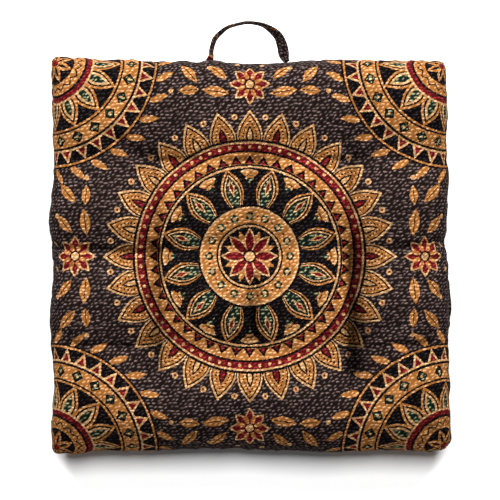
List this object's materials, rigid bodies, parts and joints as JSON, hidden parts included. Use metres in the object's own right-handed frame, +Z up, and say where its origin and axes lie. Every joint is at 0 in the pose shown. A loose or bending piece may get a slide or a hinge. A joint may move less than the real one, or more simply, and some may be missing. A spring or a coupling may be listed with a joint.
{
  "type": "meditation cushion",
  "caption": "Square tufted meditation cushion for the floor, filled and softly domed between its tufts, with a carrying strap at one edge.",
  "frame": {"origin": "on the floor, under the middle of the whole part's box, strap included", "axes": "+Z up out of the cushion's face, +Y towards the edge with the strap, +X to the right seen from above with the strap at the top"},
  "size_m": [0.6614, 0.7172, 0.1258],
  "materials": {
    "printed_cloth": "matt coarse weave printed in charcoal, ochre, cream, red and green",
    "strap_cloth": "matt coarse weave, charcoal with a few ochre and red bands"
  },
  "bodies": {
    "root": {"cushion": "printed_cloth", "handle_strap": "strap_cloth"}
  },
  "joints": []
}
